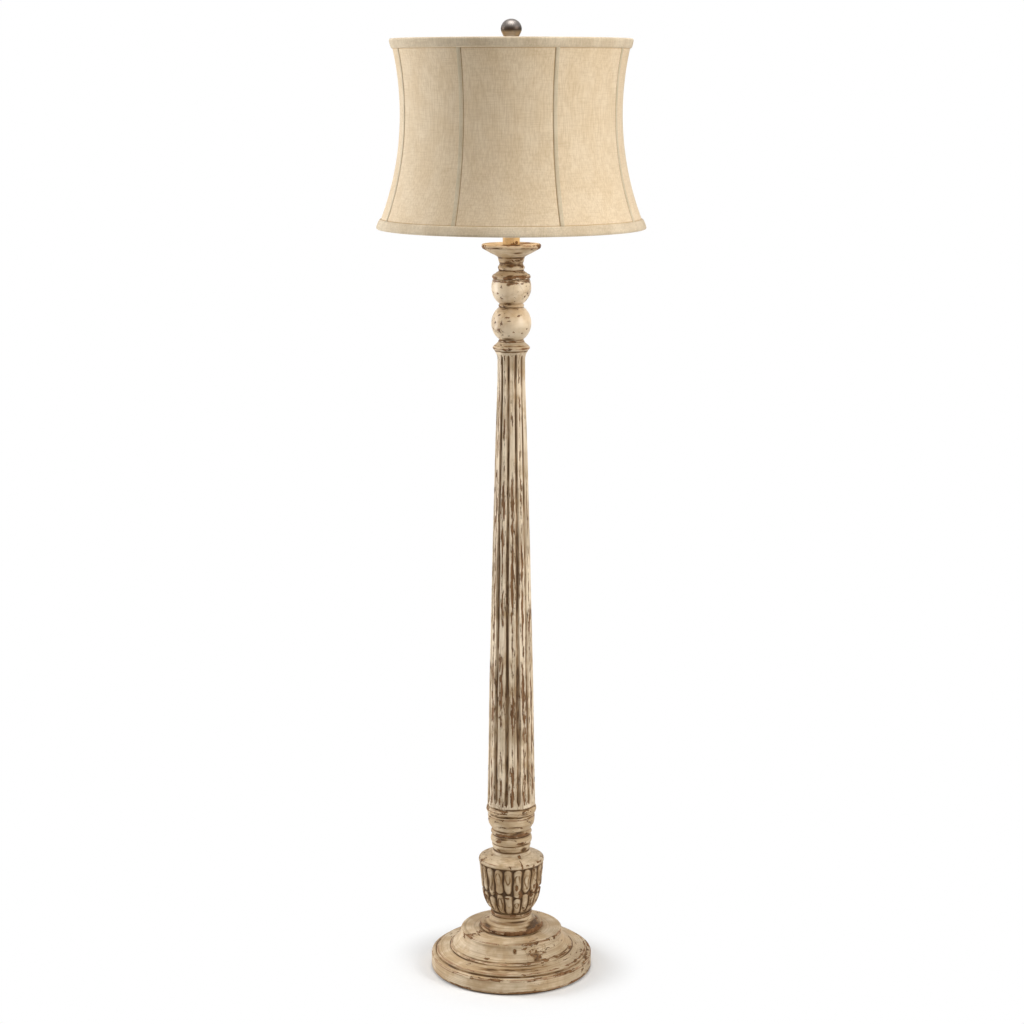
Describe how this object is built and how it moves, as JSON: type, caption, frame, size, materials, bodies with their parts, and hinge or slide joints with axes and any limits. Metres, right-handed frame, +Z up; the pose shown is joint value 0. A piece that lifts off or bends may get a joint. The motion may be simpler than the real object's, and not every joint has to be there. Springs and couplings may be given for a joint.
{
  "type": "floor lamp",
  "caption": "Floor lamp with a reeded urn and fluted column on a stepped round base, and a waisted linen shade with a ball finial.",
  "frame": {"origin": "on the floor, at the centre of the round base", "axes": "+Z up along the lamp's axis, -Y towards the viewer in the picture"},
  "size_m": [0.4537, 0.4538, 1.6498],
  "materials": {
    "antique_cream_wood": "hand-rubbed antique cream paint with brown glaze",
    "brown_felt": "matt felt",
    "cast_iron": "rough",
    "zinc_steel": "zinc plated",
    "wire_steel": "white enamel",
    "brass": "satin",
    "brown_plastic": "satin",
    "sleeve_cream": "matt paint",
    "liner_board": "matt",
    "beige_linen": "slub weave",
    "dark_nickel": "brushed",
    "frosted_glass": "frosted",
    "nickel_shell": "bright",
    "solder": "dull"
  },
  "bodies": {
    "stand": {"felt_pad": "brown_felt", "base_disc": "antique_cream_wood", "base_weight": "cast_iron", "weight_screws": "zinc_steel", "bottom_washer": "zinc_steel", "lock_washer": "zinc_steel", "bottom_nut": "zinc_steel", "cord_bushing": "brown_plastic", "lower_pipe": "zinc_steel", "upper_pipe": "zinc_steel", "pipe_coupling": "brass", "base_collar": "antique_cream_wood", "urn": "antique_cream_wood", "neck_spool": "antique_cream_wood", "foot_ring": "antique_cream_wood", "fluted_column": "antique_cream_wood", "column_collar": "antique_cream_wood", "lower_ball": "antique_cream_wood", "ball_spacer": "antique_cream_wood", "upper_ball": "antique_cream_wood", "ball_cap": "antique_cream_wood", "neck_bead": "antique_cream_wood", "drip_plate": "antique_cream_wood", "candle_sleeve": "sleeve_cream", "stack_washer": "zinc_steel", "stack_nut": "zinc_steel", "check_ring": "brass", "harp_saddle": "brass", "socket_cap": "brass", "socket_shell": "brass", "socket_liner": "liner_board", "socket_insulator": "brown_plastic", "screw_shell": "brass", "centre_contact": "brass"},
    "switch": {"switch_shaft": "brass", "switch_key": "brown_plastic"},
    "harp_frame": {"harp": "brass"},
    "left_lock": {"ferrule_left": "brass"},
    "right_lock": {"ferrule_right": "brass"},
    "shade": {"shade_cover": "beige_linen", "top_hem": "beige_linen", "bottom_hem": "beige_linen", "seam_tapes": "beige_linen", "top_ring": "wire_steel", "bottom_ring": "wire_steel", "shade_ribs": "wire_steel", "spider": "wire_steel", "spider_arms": "wire_steel"},
    "finial_thread": {"finial_insert": "brass"},
    "finial": {"finial_neck": "dark_nickel", "finial_ball": "dark_nickel"},
    "bulb_thread": {"bulb_contact": "solder"},
    "bulb": {"bulb_glass": "frosted_glass", "bulb_screw_base": "nickel_shell"}
  },
  "joints": [
    {"name": "switch_turn", "type": "hinge", "parent": "stand", "child": "switch", "pos_m": [0, -0.02, 1.394], "axis": [0, -1, 0], "continuous": true},
    {"name": "harp_lift", "type": "slide", "parent": "stand", "child": "harp_frame", "axis": [0, 0, 1], "range_m": [0, 0.02]},
    {"name": "left_lock_lift", "type": "slide", "parent": "harp_frame", "child": "left_lock", "axis": [0, 0, 1], "range_m": [0, 0.012]},
    {"name": "right_lock_lift", "type": "slide", "parent": "harp_frame", "child": "right_lock", "axis": [0, 0, 1], "range_m": [0, 0.012]},
    {"name": "shade_turn", "type": "hinge", "parent": "harp_frame", "child": "shade", "pos_m": [0, 0, 1.6078], "axis": [0, 0, 1], "continuous": true},
    {"name": "finial_rise", "type": "slide", "parent": "harp_frame", "child": "finial_thread", "axis": [0, 0, 1], "range_m": [0, 0.0048]},
    {"name": "finial_turn", "type": "hinge", "parent": "finial_thread", "child": "finial", "pos_m": [0, 0, 1.615], "axis": [0, 0, 1], "range_deg": [0, 1800]},
    {"name": "bulb_rise", "type": "slide", "parent": "stand", "child": "bulb_thread", "axis": [0, 0, 1], "range_m": [0, 0.0092]},
    {"name": "bulb_turn", "type": "hinge", "parent": "bulb_thread", "child": "bulb", "pos_m": [0, 0, 1.42], "axis": [0, 0, 1], "range_deg": [0, 900]}
  ],
  "couplings": [
    {"joint": "finial_rise", "follows": "finial_turn", "m_per_rad": 0.00014961},
    {"joint": "bulb_rise", "follows": "bulb_turn", "m_per_rad": 0.00057773}
  ]
}
